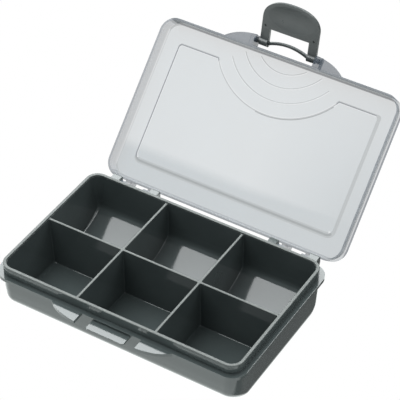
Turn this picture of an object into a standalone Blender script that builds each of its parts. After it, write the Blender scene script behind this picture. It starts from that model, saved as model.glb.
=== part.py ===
"""Small hinged tackle-accessory box: a moulded tray with six scooped compartments, a clear lid
that hinges on the tray's rear lugs, and a D-shaped latch that hangs on the lid's front edge and
hooks under the tray's catch tab. The three mouldings snap together, with no loose pins.

Frame: origin at the centre of the tray's underside, +X right along the hinge, -Y front (latch
side), +Z up. The box stands with the lid thrown right back and the latch half folded in."""

import math

import bmesh
import bpy
from mathutils import Matrix, Vector

MM = 0.001

# Tray
RIM_LENGTH = 105.0 * MM
RIM_WIDTH = 65.0 * MM
RIM_TOP = 23.8 * MM
RIM_WALL = 1.38 * MM
RIM_CORNER = 5.2 * MM
FLOOR_TOP = 1.5 * MM
SIDE_FOOT_DRAFT = 0.6 * MM  # how much narrower each end wall is at the foot
SIDE_FOOT_RADIUS = 4.2 * MM
FOOT_CORNER = 6.0 * MM  # the upright corners open out towards the foot
KEEL_RADIUS = 16.6 * MM  # big roll of the underside into the front and rear walls
KEEL_FLAT_REAR = 20.0 * MM  # where the flat underside ends
KEEL_FLAT_FRONT = 18.4 * MM
SCOOP_RADIUS = 32.5 * MM  # the same roll inside, so that small tackle slides up and out
SCOOP_FLAT_REAR = 13.0 * MM
SCOOP_FLAT_FRONT = 11.0 * MM
CELL_END_FOOT = 49.4 * MM
CELL_CORNER = 4.0 * MM
CELL_CORNER_FOOT = 1.1 * MM  # the outer corners tighten to this down in the scoops
CELL_END_FILLET = 1.2 * MM
CELL_FILLET = 0.35 * MM

# Dividers, moulded with the tray
DIVIDER_TOP = 23.2 * MM
DIVIDER_X = 17.2 * MM
DIVIDER_Y = -0.2 * MM
DIVIDER_THICK = 1.0 * MM
DIVIDER_DRAFT = 0.012

# Ledge round the tray, which the lid comes down on
LEDGE_LENGTH = 108.8 * MM
LEDGE_WIDTH = 68.7 * MM
LEDGE_TOP = 19.75 * MM
LEDGE_THICK = 1.4 * MM
LEDGE_CORNER = 6.5 * MM
ARCH_HALF = 26.5 * MM  # the bowed finger flange in the middle of the front
ARCH_RISE = 5.0 * MM
ARCH_POWER = 4.5
CATCH_GAP_HALF = 13.25 * MM  # cut-out in the flange that the latch drops into

# Catch tab
TAB_HALF = 8.2 * MM
TAB_TOP = 18.7 * MM
TAB_THICK = 0.8 * MM
TAB_FRONT = 39.1 * MM

# Low bead along the outside of the rim's front wall, in four lengths, that the lid grips
BEAD_PROUD = 0.3 * MM
BEAD_TOP = 23.45 * MM
BEAD_TALL = 1.25 * MM
BEAD_END = 52.1 * MM
BEADS = ((-52.1 * MM, -24.0 * MM), (-10.2 * MM, -5.2 * MM), (12.0 * MM, 14.8 * MM), (25.8 * MM, 52.1 * MM))

# Hinge
HINGE_Y = 36.81 * MM
HINGE_Z = 17.07 * MM
LUG_SPANS = ((25.4 * MM, 29.0 * MM), (43.2 * MM, 47.1 * MM))
ARM_SPANS = ((29.35 * MM, 32.35 * MM), (39.85 * MM, 42.85 * MM))
LUG_RADIUS = 2.6 * MM
LUG_EASE = 0.75 * MM
ARM_RADIUS = 2.0 * MM
HINGE_HOLE = 1.4 * MM
HINGE_PIN = 1.25 * MM
LID_OPEN = 135.1  # degrees from closed

# Lid, in its closed place
LID_LENGTH = 107.5 * MM
LID_WIDTH = 68.56 * MM
LID_TOP = 27.05 * MM
LID_FOOT = 20.05 * MM
LID_WALL = 0.95 * MM
LID_ROOF = 1.2 * MM
LID_CORNER = 6.5 * MM
LID_DRAFT = 0.035
LID_EDGE = 1.0 * MM
LID_ARCH_RISE = 4.85 * MM
LID_FLANGE_FOOT = 20.85 * MM
LID_FLANGE_THICK = 1.4 * MM
PANEL_HALF = 46.2 * MM
PANEL_REAR = 26.0 * MM
PANEL_FRONT = 25.7 * MM
PANEL_DEPTH = 0.35 * MM
PANEL_SLOPE = 1.0 * MM  # width of the ramp round the panel
ARC_CENTRE_Y = -43.5 * MM
PANEL_BITE = 32.6 * MM
ARC_RADII = (27.5 * MM, 21.6 * MM, 16.1 * MM)
ARC_ENDS = (22.4 * MM, 17.75 * MM, 10.8 * MM)  # how far each arc reaches to either side
ARC_WIDTH = 0.7 * MM
ARC_HEIGHT = 0.26 * MM

# Latch, hanging straight down in its closed place
LATCH_Y = -37.22 * MM
LATCH_Z = 24.25 * MM
LATCH_HALF = 12.6 * MM
LATCH_LENGTH = 19.4 * MM  # pivot to the tip of the D
LATCH_THICK = 1.2 * MM
LATCH_FACE = 0.27 * MM  # inner face past the pivot
DISH_CENTRE = 13.1 * MM  # an oval dish in the D, for the thumb
DISH_HALF = (10.5 * MM, 5.35 * MM)
DISH_DEPTH = 0.5 * MM
PIT_PLACE = (10.85 * MM, 7.65 * MM)  # two small moulding marks by the window's lower corners
PIT_RADIUS = 0.55 * MM
PIT_DEPTH = 0.35 * MM
LATCH_BOSS = 1.5 * MM
LATCH_STUB = 1.0 * MM
LATCH_HOLE = 1.15 * MM
LATCH_WINDOW_HALF = 8.75 * MM
LATCH_WINDOW_FOOT = 6.5 * MM  # below the pivot
LATCH_OPEN = 55.6  # degrees from closed, as it stands
LATCH_LUGS = (13.35 * MM, 15.35 * MM)
LATCH_LUG_RADIUS = 1.75 * MM


# Scene
for old in list(bpy.data.objects):
    bpy.data.objects.remove(old, do_unlink=True)
PARTS = bpy.data.collections.new("carp_accessory_box")
TOOLS = bpy.data.collections.new("shaping_tools")
for made in (PARTS, TOOLS):
    bpy.context.scene.collection.children.link(made)


def add_object(name, mesh):
    obj = bpy.data.objects.new(name, mesh)
    TOOLS.objects.link(obj)
    return obj


def evaluated_mesh(obj):
    bpy.context.view_layer.update()
    graph = bpy.context.evaluated_depsgraph_get()
    return bpy.data.meshes.new_from_object(obj.evaluated_get(graph))


def baked(obj):
    """Applies the object's modifiers and its transform to its mesh."""
    mesh = evaluated_mesh(obj)
    obj.modifiers.clear()
    obj.data = mesh
    mesh.transform(obj.matrix_world)
    obj.matrix_world = Matrix.Identity(4)
    return obj


def boolean(target, tool, operation):
    modifier = target.modifiers.new(operation.title(), "BOOLEAN")
    modifier.operation = operation
    modifier.solver = "EXACT"
    modifier.object = tool
    baked(target)
    bpy.data.objects.remove(tool, do_unlink=True)
    return target


def cut(target, tool):
    return boolean(target, tool, "DIFFERENCE")


def join(target, tool):
    return boolean(target, tool, "UNION")


def bevel(obj, width, segments=2, angle=40.0):
    modifier = obj.modifiers.new("Bevel", "BEVEL")
    modifier.width = width
    modifier.segments = segments
    modifier.limit_method = "ANGLE"
    modifier.angle_limit = math.radians(angle)
    return baked(obj)


def rounded_rectangle(x0, x1, y0, y1, radii, segments=7):
    """Anticlockwise outline. The radii are those of its (+X+Y), (-X+Y), (-X-Y), (+X-Y) corners."""
    ne, nw, sw, se = radii
    corners = (
        (x1 - ne, y1 - ne, ne, 0),
        (x0 + nw, y1 - nw, nw, 90),
        (x0 + sw, y0 + sw, sw, 180),
        (x1 - se, y0 + se, se, 270),
    )
    points = []
    for cx, cy, radius, start in corners:
        for i in range(segments + 1):
            angle = math.radians(start + 90.0 * i / segments)
            points.append((cx + radius * math.cos(angle), cy + radius * math.sin(angle)))
    return points


def loft(name, rings):
    """A closed solid through level outlines, given as (z, outline), that all have as many points."""
    bm = bmesh.new()
    rows = [[bm.verts.new((x, y, z)) for x, y in outline] for z, outline in rings]
    count = len(rows[0])
    sides = []
    for low, high in zip(rows, rows[1:]):
        for i in range(count):
            j = (i + 1) % count
            sides.append(bm.faces.new((low[i], low[j], high[j], high[i])))
    bm.faces.new(list(reversed(rows[0])))
    bm.faces.new(rows[-1])
    bmesh.ops.triangulate(bm, faces=sides)
    mesh = bpy.data.meshes.new(name)
    bm.to_mesh(mesh)
    bm.free()
    return add_object(name, mesh)


def plate(name, outlines, low, high, plane="XY"):
    """Flat outlines (the later ones are holes) filled and extruded from low to high along the plane's normal."""
    curve = bpy.data.curves.new(name, "CURVE")
    curve.dimensions = "2D"
    curve.fill_mode = "BOTH"
    curve.extrude = (high - low) / 2
    for outline in outlines:
        spline = curve.splines.new("POLY")
        spline.points.add(len(outline) - 1)
        for point, (x, y) in zip(spline.points, outline):
            point.co = (x, y, 0.0, 1.0)
        spline.use_cyclic_u = True
    shape = add_object(name + "_curve", curve)
    middle = (low + high) / 2
    if plane == "XY":
        shape.location = (0.0, 0.0, middle)
    else:  # "YZ": the outline's x runs along +Y and its y along +Z
        shape.rotation_euler = (math.radians(90), 0.0, math.radians(90))
        shape.location = (middle, 0.0, 0.0)
    mesh = evaluated_mesh(shape)
    bm = bmesh.new()
    bm.from_mesh(mesh)
    bmesh.ops.remove_doubles(bm, verts=bm.verts, dist=1e-7)
    bmesh.ops.recalc_face_normals(bm, faces=bm.faces)
    bm.to_mesh(mesh)
    bm.free()
    obj = add_object(name, mesh)
    obj.matrix_world = shape.matrix_world.copy()
    bpy.data.objects.remove(shape, do_unlink=True)
    return baked(obj)


def rod(name, radius, x0, x1, y, z, vertices=24):
    """A cylinder along X."""
    bpy.ops.mesh.primitive_cylinder_add(
        vertices=vertices,
        radius=radius,
        depth=x1 - x0,
        location=((x0 + x1) / 2, y, z),
        rotation=(0.0, math.radians(90), 0.0),
    )
    obj = bpy.context.object
    obj.name = name
    for home in list(obj.users_collection):
        home.objects.unlink(obj)
    TOOLS.objects.link(obj)
    return baked(obj)


def arc_points(cx, cy, radius, start, end, count):
    return [
        (
            cx + radius * math.cos(math.radians(start + (end - start) * i / count)),
            cy + radius * math.sin(math.radians(start + (end - start) * i / count)),
        )
        for i in range(count + 1)
    ]


def material(name, colour, roughness, alpha=1.0):
    made = bpy.data.materials.new(name)
    made.use_nodes = True
    shader = made.node_tree.nodes["Principled BSDF"]
    shader.inputs["Base Color"].default_value = (*colour, 1.0)
    shader.inputs["Roughness"].default_value = roughness
    shader.inputs["Metallic"].default_value = 0.0
    shader.inputs["Alpha"].default_value = alpha
    made.diffuse_color = (*colour, alpha)
    return made


def finish(obj, name, look):
    """Names the finished piece, shades it and moves it to the object's collection."""
    obj.name = name
    obj.data.name = name
    obj.data.materials.clear()
    obj.data.materials.append(look)
    obj.data.shade_smooth()
    obj.data.set_sharp_from_angle(angle=math.radians(28))
    TOOLS.objects.unlink(obj)
    PARTS.objects.link(obj)
    return obj


# Profiles of the tray
def eased_limit(value, limit, ease):
    """The smaller of the two, with the corner between them rounded."""
    over = limit - value
    return limit - (over + math.sqrt(over * over + 4 * ease * ease)) / 2


def keel_reach(z, flat):
    """Half width of the underside's roll at height z."""
    if z >= 12.0 * MM:
        return RIM_WIDTH / 2
    rolled = flat + math.sqrt(max(KEEL_RADIUS**2 - (KEEL_RADIUS - z) ** 2, 0.0))
    return flat if z <= 0 else eased_limit(rolled, RIM_WIDTH / 2, 0.35 * MM)


def end_reach(z):
    """Half length of the tray's outside at height z."""
    slope = SIDE_FOOT_DRAFT * max(0.0, 1.0 - z / LEDGE_TOP)
    radius = SIDE_FOOT_RADIUS
    inset = radius - math.sqrt(max(radius**2 - max(radius - z, 0.0) ** 2, 0.0))
    return RIM_LENGTH / 2 - slope - inset


def scoop_reach(z, flat):
    """How far a compartment reaches to the front or rear wall at height z."""
    wall = RIM_WIDTH / 2 - RIM_WALL
    rise = z - FLOOR_TOP
    if rise >= 10.0 * MM:
        return wall
    rolled = flat + math.sqrt(max(SCOOP_RADIUS**2 - (SCOOP_RADIUS - rise) ** 2, 0.0))
    return eased_limit(rolled, wall, 0.7 * MM)


def fillet(rise, radius):
    return radius - math.sqrt(max(radius**2 - max(radius - rise, 0.0) ** 2, 0.0))


def cell_end(z):
    """Where the end compartments meet the end walls at height z."""
    rise = z - FLOOR_TOP
    top = RIM_LENGTH / 2 - RIM_WALL
    wall = CELL_END_FOOT + (top - CELL_END_FOOT) * min(rise / (RIM_TOP - FLOOR_TOP), 1.0)
    return wall - fillet(rise, CELL_END_FILLET)


def cell_corner(z):
    """Radius of an end compartment's outer corner at height z."""
    share = min(max((z - 7 * MM) / (12 * MM), 0.0), 1.0)
    return CELL_CORNER_FOOT + (CELL_CORNER - CELL_CORNER_FOOT) * share * share * (3 - 2 * share)


def divider_half(z):
    rise = z - FLOOR_TOP
    return (
        DIVIDER_THICK / 2
        + DIVIDER_DRAFT * max(DIVIDER_TOP - z, 0.0)
        + fillet(rise, CELL_FILLET)
    )


def bow(half_y, rise, gap_half, steps=8):
    """Front edge of the bowed flange, from its left end to the cut-out."""
    points = []
    for i in range(steps + 1):
        x = -ARCH_HALF + (ARCH_HALF - gap_half) * i / steps
        points.append((x, -half_y - rise * (1 - abs(x / ARCH_HALF) ** ARCH_POWER)))
    return points


def bow_outlines(half_y, rise, gap_half, root):
    """The flange's two wings, either side of the cut-out, rooted in the wall behind them."""
    front = bow(half_y, rise, gap_half)
    wing = [(-ARCH_HALF, root)] + front + [(-gap_half, root)]
    return wing, [(-x, y) for x, y in wing]


# Tray
levels = [0.0, 0.12, 0.45, 1.0, 1.8, 2.8, 4.0, 5.2, 6.5, 8.0, 10.0, 12.0]
rings = []
for level in levels:
    z = level * MM
    x = end_reach(z)
    rings.append(
        (
            z,
            rounded_rectangle(
                -x,
                x,
                -keel_reach(z, KEEL_FLAT_FRONT),
                keel_reach(z, KEEL_FLAT_REAR),
                (RIM_CORNER + (FOOT_CORNER - RIM_CORNER) * max(0.0, 1 - z / (14 * MM)),) * 4,
                8,
            ),
        )
    )
for z, inset in ((RIM_TOP - 0.3 * MM, 0.0), (RIM_TOP - 0.09 * MM, 0.09 * MM), (RIM_TOP, 0.3 * MM)):
    x, y = RIM_LENGTH / 2 - inset, RIM_WIDTH / 2 - inset
    rings.append((z, rounded_rectangle(-x, x, -y, y, (RIM_CORNER - inset,) * 4, 8)))
tray = loft("tray", rings)

x, y = LEDGE_LENGTH / 2, LEDGE_WIDTH / 2
outline = rounded_rectangle(-x, x, -y, y, (LEDGE_CORNER,) * 4, 8)
ledge = plate("ledge", [outline], LEDGE_TOP - LEDGE_THICK, LEDGE_TOP)
join(tray, bevel(ledge, 0.4 * MM, 2, 60.0))
for outline in bow_outlines(y, ARCH_RISE, CATCH_GAP_HALF, -y + MM):
    wing = plate("wing", [outline], LEDGE_TOP - LEDGE_THICK + 0.02 * MM, LEDGE_TOP - 0.02 * MM)
    join(tray, bevel(wing, 0.35 * MM, 2, 60.0))

tab = plate(
    "tab",
    [rounded_rectangle(-TAB_HALF, TAB_HALF, -TAB_FRONT, -30.0 * MM, (0.5 * MM, 0.5 * MM, 1.6 * MM, 1.6 * MM), 4)],
    TAB_TOP - TAB_THICK,
    TAB_TOP,
)
join(tray, bevel(tab, 0.25 * MM, 2, 60.0))

for low, high in BEADS:
    # The outer lengths follow the rim's corners and fade out there.
    left = RIM_CORNER - 0.2 * MM if low <= -BEAD_END else 0.35 * MM
    right = RIM_CORNER - 0.2 * MM if high >= BEAD_END else 0.35 * MM
    rings = []
    for share, swell in ((0.0, 0.0), (0.15, 0.65), (0.5, 1.0), (0.85, 0.65), (1.0, 0.0)):
        y = -RIM_WIDTH / 2 - BEAD_PROUD * swell + 0.02 * MM * (1 - swell)
        rings.append(
            (
                BEAD_TOP - BEAD_TALL * (1 - share),
                rounded_rectangle(low, high, y, -RIM_WIDTH / 2 + 6 * MM, (0.1 * MM, 0.1 * MM, left, right), 6),
            )
        )
    join(tray, loft("bead", rings))

# Each lug is round below and square, with an eased corner, above.
lug_outline = [(31.9 * MM, 11.4 * MM)]
lug_outline += arc_points(HINGE_Y, HINGE_Z, LUG_RADIUS, -75, 0, 5)
lug_outline += arc_points(
    HINGE_Y + LUG_RADIUS - LUG_EASE - 0.05 * MM, HINGE_Z + LUG_RADIUS - LUG_EASE, LUG_EASE, 0, 90, 4
)
lug_outline += [(31.9 * MM, HINGE_Z + LUG_RADIUS)]
for side in (-1, 1):
    for low, high in LUG_SPANS:
        span = sorted((side * low, side * high))
        lug = plate("lug", [lug_outline], span[0], span[1], "YZ")
        join(tray, bevel(lug, 0.2 * MM, 1, 60.0))
    for low, high in LUG_SPANS:
        span = sorted((side * (low - MM), side * (high + MM)))
        cut(tray, rod("hinge_bore", HINGE_HOLE, span[0], span[1], HINGE_Y, HINGE_Z))

cell_levels = [0.0, 0.1, 0.25, 0.55, 1.0, 1.6, 2.3, 3.0, 3.9, 4.8, 5.8, 6.9, 8.2, 10.0, 12.0, 14.5, 17.5, 24.0]
for column in (-1, 0, 1):
    for row in (-1, 1):
        rings = []
        for rise in cell_levels:
            z = FLOOR_TOP + rise * MM
            half = divider_half(z)
            if column == 0:
                x0, x1 = -DIVIDER_X + half, DIVIDER_X - half
            else:
                x0, x1 = sorted((column * (DIVIDER_X + half), column * cell_end(z)))
            near = DIVIDER_Y + row * half
            far = row * scoop_reach(z, SCOOP_FLAT_REAR if row > 0 else SCOOP_FLAT_FRONT)
            y0, y1 = sorted((near, far))
            small, big = 0.5 * MM, cell_corner(z)
            radii = [small] * 4
            if column != 0:
                index = {(1, 1): 0, (-1, 1): 1, (-1, -1): 2, (1, -1): 3}[(column, row)]
                radii[index] = big
            rings.append((z, rounded_rectangle(x0, x1, y0, y1, radii, 5)))
        cut(tray, loft("cell", rings))

# Above the dividers the rim stands alone; its inner edge is eased.
relief = 0.06 * MM
inner_x = RIM_LENGTH / 2 - RIM_WALL + relief
inner_y = RIM_WIDTH / 2 - RIM_WALL + relief
rings = []
for z, out in (
    (DIVIDER_TOP, 0.0),
    (RIM_TOP - 0.3 * MM, 0.0),
    (RIM_TOP - 0.09 * MM, 0.09 * MM),
    (RIM_TOP, 0.3 * MM),
    (RIM_TOP + MM, 0.3 * MM),
):
    x, y = inner_x + out, inner_y + out
    rings.append((z, rounded_rectangle(-x, x, -y, y, (CELL_CORNER + out,) * 4, 8)))
cut(tray, loft("rim_opening", rings))

finish(tray, "base_tray", material("tray_plastic", (0.035, 0.037, 0.04), 0.22))


# Lid, shaped in its closed place
def lid_ring(depth, inset):
    """Outline of the lid's outside, moved in by inset, at a depth below its top."""
    draft = LID_DRAFT * (LID_TOP - LID_FOOT - depth)
    x = LID_LENGTH / 2 - draft - inset
    y = LID_WIDTH / 2 - draft - inset
    return rounded_rectangle(-x, x, -y, y, (LID_CORNER - inset,) * 4, 8)


height = LID_TOP - LID_FOOT
rings = [(LID_FOOT, lid_ring(height, 0.0))]
for angle in (0, 22.5, 45, 67.5, 90):
    sink = LID_EDGE * (1 - math.sin(math.radians(angle)))
    inset = LID_EDGE * (1 - math.cos(math.radians(angle)))
    rings.append((LID_TOP - sink, lid_ring(sink, inset)))
lid = loft("lid", rings)

for outline in bow_outlines(
    LID_WIDTH / 2, LID_ARCH_RISE, LATCH_LUGS[0], -LID_WIDTH / 2 + 0.6 * MM
):
    flange = plate("lid_flange", [outline], LID_FLANGE_FOOT, LID_FLANGE_FOOT + LID_FLANGE_THICK)
    join(lid, bevel(flange, 0.3 * MM, 2, 60.0))

latch_lug = [(-33.6 * MM, LID_FOOT + 0.5 * MM), (-38.2 * MM, LID_FOOT + 0.5 * MM)]
latch_lug += arc_points(LATCH_Y, LATCH_Z, LATCH_LUG_RADIUS, 190, 75, 8)
latch_lug += [(-33.6 * MM, LATCH_Z + LATCH_LUG_RADIUS - 0.2 * MM)]
for side in (-1, 1):
    span = sorted((side * LATCH_LUGS[0], side * LATCH_LUGS[1]))
    lug = plate("latch_lug", [latch_lug], span[0], span[1], "YZ")
    join(lid, lug)
    span = sorted((side * (LATCH_LUGS[0] - MM), side * (LATCH_LUGS[1] + MM)))
    cut(lid, rod("latch_bore", LATCH_HOLE, span[0], span[1], LATCH_Y, LATCH_Z))

arm = [(33.75 * MM, 24.8 * MM), (33.75 * MM, 20.4 * MM), (HINGE_Y - ARM_RADIUS, 20.4 * MM)]
arm += arc_points(HINGE_Y, HINGE_Z, ARM_RADIUS, 180, 360, 10)
arm += [(HINGE_Y + ARM_RADIUS, 21.0 * MM), (35.9 * MM, 24.8 * MM)]
for side in (-1, 1):
    for (low, high), (pin_low, pin_high) in zip(
        ARM_SPANS,
        (
            (LUG_SPANS[0][1] - 2.2 * MM, ARM_SPANS[0][0] + MM),
            (ARM_SPANS[1][1] - MM, LUG_SPANS[1][0] + 2.2 * MM),
        ),
    ):
        span = sorted((side * low, side * high))
        join(lid, plate("arm", [arm], span[0], span[1], "YZ"))
        span = sorted((side * pin_low, side * pin_high))
        join(lid, rod("hinge_pin", HINGE_PIN, span[0], span[1], HINGE_Y, HINGE_Z))

rings = []
roof = LID_TOP - LID_ROOF
rings.append((LID_FOOT - MM, lid_ring(height + MM, LID_WALL)))
for angle in (0, 30, 60, 90):
    sink = 0.6 * MM * (1 - math.sin(math.radians(angle)))
    inset = 0.6 * MM * (1 - math.cos(math.radians(angle)))
    rings.append((roof - sink, lid_ring(LID_ROOF + sink, LID_WALL + inset)))
cut(lid, loft("lid_hollow", rings))



def panel_outline(inset):
    """Outline of the sunk panel with its arched bite, moved in by inset. The ramp is wider on the
    right and behind."""
    left, front = -PANEL_HALF + inset, -PANEL_FRONT + inset
    right, rear = PANEL_HALF - 2.2 * inset, PANEL_REAR - 2.2 * inset
    radius, corner, small = PANEL_BITE + inset, 3.2 * MM - inset, 1.3 * MM
    bite = math.degrees(math.asin((front - ARC_CENTRE_Y) / radius))
    points = arc_points(left + small, front + small, small, 180, 270, 3)
    points += arc_points(0.0, ARC_CENTRE_Y, radius, 180 - bite, bite, 24)
    points += arc_points(right - small, front + small, small, 270, 360, 3)
    points += arc_points(right - corner, rear - corner, corner, 0, 90, 4)
    points += arc_points(left + corner, rear - corner, corner, 90, 180, 4)
    return points


panel = [(roof - MM, panel_outline(0.0)), (roof, panel_outline(0.0)), (roof + PANEL_DEPTH, panel_outline(PANEL_SLOPE))]
cut(lid, loft("panel", panel))

for radius, end in zip(ARC_RADII, ARC_ENDS):
    spread = math.degrees(math.asin(end / radius))
    arc = arc_points(0.0, ARC_CENTRE_Y, radius, 90 - spread, 90 + spread, 20)
    arc += arc_points(0.0, ARC_CENTRE_Y, radius - ARC_WIDTH, 90 + spread, 90 - spread, 20)
    join(lid, plate("arc_rib", [arc], roof - ARC_HEIGHT, roof + 0.4 * MM))

lid.data.transform(Matrix.Translation(Vector((0.0, -HINGE_Y, -HINGE_Z))))
lid.location = (0.0, HINGE_Y, HINGE_Z)
lid.rotation_euler = (math.radians(-LID_OPEN), 0.0, 0.0)
finish(lid, "lid", material("clear_plastic", (0.9, 0.93, 0.95), 0.06, 0.3))


# Latch, shaped about its pivot, hanging straight down: x across, q down from the pivot
def d_outline(inset, top, count=10):
    """Points (x, q) from the right edge at top, round the D's tip, to the left edge."""
    start = 11.2 * MM
    right = [(LATCH_HALF - inset, top)]
    for i in range(count + 1):
        angle = math.radians(90.0 * i / count)
        power = 2 / 2.35
        x = (LATCH_HALF - inset) * math.cos(angle) ** power if i < count else 0.0
        q = start + (LATCH_LENGTH - start - inset) * math.sin(angle) ** power
        right.append((x, q))
    left = [(-x, q) for x, q in reversed(right[:-1])]
    return right + left


LEG_IN = 8.75 * MM
LEG_TOP = -1.55 * MM
BAR_STEPS = [i / 5 for i in range(-5, 6)]
bar_upper = [(LEG_IN * i, (1.25 - 1.95 * i * i) * MM) for i in BAR_STEPS]
outline = [(LEG_IN, LEG_TOP), (LATCH_HALF, LEG_TOP)] + d_outline(0.0, 2.0 * MM)
outline += [(-LATCH_HALF, LEG_TOP), (-LEG_IN, LEG_TOP)]
outline += bar_upper
window = [(LATCH_WINDOW_HALF, LATCH_WINDOW_FOOT), (-LATCH_WINDOW_HALF, LATCH_WINDOW_FOOT)]
window += [(LATCH_WINDOW_HALF * i, (2.15 - 1.65 * i * i) * MM) for i in BAR_STEPS]
# The plate is drawn flat with q along +Y, then stood up so that q runs down.
stand = Matrix.Rotation(math.radians(-90), 4, "X")
latch = plate("latch", [outline, window], -LATCH_THICK + LATCH_FACE, LATCH_FACE)
bevel(latch, 0.25 * MM, 1, 60.0)
rings = []
for share in (0.22, 0.45, 0.65, 0.83, 0.96, 1.12):
    oval = [
        (x * DISH_HALF[0] * share, DISH_CENTRE + y * DISH_HALF[1] * share)
        for x, y in arc_points(0.0, 0.0, 1.0, 0, 360 - 360 / 36, 35)
    ]
    rings.append((LATCH_FACE - DISH_DEPTH * (1 - share * share), oval))
cut(latch, loft("dish", rings))
for side in (-1, 1):
    pit = arc_points(side * PIT_PLACE[0], PIT_PLACE[1], PIT_RADIUS, 0, 330, 11)
    cut(latch, loft("pit", [(LATCH_FACE - PIT_DEPTH, pit), (LATCH_FACE + MM, pit)]))
latch.data.transform(stand)
for side in (-1, 1):
    span = sorted((side * (LEG_IN + 0.2 * MM), side * (LATCH_HALF - 0.15 * MM)))
    join(latch, rod("boss", LATCH_BOSS, span[0], span[1], 0.0, 0.0, 20))
    span = sorted((side * (LATCH_HALF - MM), side * (LATCH_LUGS[1] - 0.3 * MM)))
    join(latch, rod("stub", LATCH_STUB, span[0], span[1], 0.0, 0.0, 20))
latch.parent = lid
latch.location = (0.0, LATCH_Y - HINGE_Y, LATCH_Z - HINGE_Z)
latch.rotation_euler = (math.radians(-LATCH_OPEN), 0.0, 0.0)
finish(latch, "latch", material("latch_plastic", (0.06, 0.063, 0.068), 0.3))

TOOLS.hide_render = True
bpy.context.view_layer.update()
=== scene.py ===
"""Looks of the small hinged accessory box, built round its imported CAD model.

The three mouldings are made again here at a finer resolution than the CAD solids, on the same
sizes, so that their curved walls shade smoothly and their small details show. Each one replaces
its CAD node and rides on that node's body."""

import math

import bmesh
import bpy
from mathutils import Matrix, Vector


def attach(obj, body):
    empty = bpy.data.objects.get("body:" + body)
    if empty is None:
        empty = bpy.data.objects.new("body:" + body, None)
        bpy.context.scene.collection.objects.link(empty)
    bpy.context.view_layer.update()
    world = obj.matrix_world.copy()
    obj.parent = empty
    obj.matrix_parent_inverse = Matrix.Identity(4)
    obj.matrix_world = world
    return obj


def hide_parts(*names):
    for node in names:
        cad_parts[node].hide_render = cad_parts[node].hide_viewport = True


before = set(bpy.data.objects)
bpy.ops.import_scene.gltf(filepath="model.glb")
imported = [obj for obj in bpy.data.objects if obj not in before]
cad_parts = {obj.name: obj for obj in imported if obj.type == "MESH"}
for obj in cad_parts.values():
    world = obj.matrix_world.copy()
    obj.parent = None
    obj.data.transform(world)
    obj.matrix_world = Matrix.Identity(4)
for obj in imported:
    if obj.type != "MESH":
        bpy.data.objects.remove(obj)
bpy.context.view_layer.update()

MM = 0.001

# Tray
RIM_LENGTH = 105.0 * MM
RIM_WIDTH = 65.0 * MM
RIM_TOP = 23.8 * MM
RIM_WALL = 1.38 * MM
RIM_CORNER = 5.2 * MM
FLOOR_TOP = 1.5 * MM
SIDE_FOOT_DRAFT = 0.6 * MM
SIDE_FOOT_RADIUS = 4.2 * MM
FOOT_CORNER = 6.0 * MM
KEEL_RADIUS = 16.6 * MM
KEEL_FLAT_REAR = 20.0 * MM
KEEL_FLAT_FRONT = 18.4 * MM
SCOOP_RADIUS = 32.5 * MM
SCOOP_FLAT_REAR = 13.0 * MM
SCOOP_FLAT_FRONT = 11.0 * MM
CELL_END_FOOT = 49.4 * MM
CELL_CORNER = 4.0 * MM
CELL_CORNER_FOOT = 1.1 * MM
CELL_END_FILLET = 1.2 * MM
CELL_FILLET = 0.35 * MM
DIVIDER_TOP = 23.2 * MM
DIVIDER_X = 17.2 * MM
DIVIDER_Y = -0.2 * MM
DIVIDER_THICK = 1.0 * MM
DIVIDER_DRAFT = 0.012
DIVIDER_EDGE = 0.26 * MM
LEDGE_LENGTH = 108.8 * MM
LEDGE_WIDTH = 68.7 * MM
LEDGE_TOP = 19.75 * MM
LEDGE_THICK = 1.4 * MM
LEDGE_CORNER = 6.5 * MM
ARCH_HALF = 26.5 * MM
ARCH_RISE = 5.0 * MM
ARCH_POWER = 4.5
CATCH_GAP_HALF = 13.25 * MM
TAB_HALF = 8.2 * MM
TAB_TOP = 18.7 * MM
TAB_THICK = 0.8 * MM
TAB_FRONT = 39.1 * MM
BEAD_PROUD = 0.3 * MM
BEAD_TOP = 23.45 * MM
BEAD_TALL = 1.25 * MM
BEADS = ((-60.0 * MM, -24.0 * MM), (-10.2 * MM, -5.2 * MM), (12.0 * MM, 14.8 * MM), (25.8 * MM, 60.0 * MM))

# Hinge
HINGE_Y = 36.81 * MM
HINGE_Z = 17.07 * MM
LUG_SPANS = ((25.4 * MM, 29.0 * MM), (43.2 * MM, 47.1 * MM))
ARM_SPANS = ((29.35 * MM, 32.35 * MM), (39.85 * MM, 42.85 * MM))
LUG_RADIUS = 2.6 * MM
LUG_EASE = 0.75 * MM
ARM_RADIUS = 2.0 * MM
HINGE_HOLE = 1.4 * MM
HINGE_PIN = 1.25 * MM
LID_OPEN = 135.1

# Lid, in its closed place
LID_LENGTH = 107.5 * MM
LID_WIDTH = 68.56 * MM
LID_TOP = 27.05 * MM
LID_FOOT = 20.05 * MM
LID_WALL = 0.95 * MM
LID_ROOF = 1.2 * MM
LID_CORNER = 6.5 * MM
LID_DRAFT = 0.035
LID_EDGE = 1.0 * MM
LID_ARCH_RISE = 4.85 * MM
LID_FLANGE_FOOT = 20.85 * MM
LID_FLANGE_THICK = 1.4 * MM
PANEL_HALF = 46.2 * MM
PANEL_REAR = 26.0 * MM
PANEL_FRONT = 25.7 * MM
PANEL_DEPTH = 0.35 * MM
PANEL_SLOPE = 1.0 * MM
ARC_CENTRE_Y = -43.5 * MM
PANEL_BITE = 32.6 * MM
ARC_RADII = (27.5 * MM, 21.6 * MM, 16.1 * MM)
ARC_WIDTH = 0.7 * MM
ARC_HEIGHT = 0.26 * MM
ARC_ENDS = (22.4 * MM, 17.75 * MM, 10.8 * MM)

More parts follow.
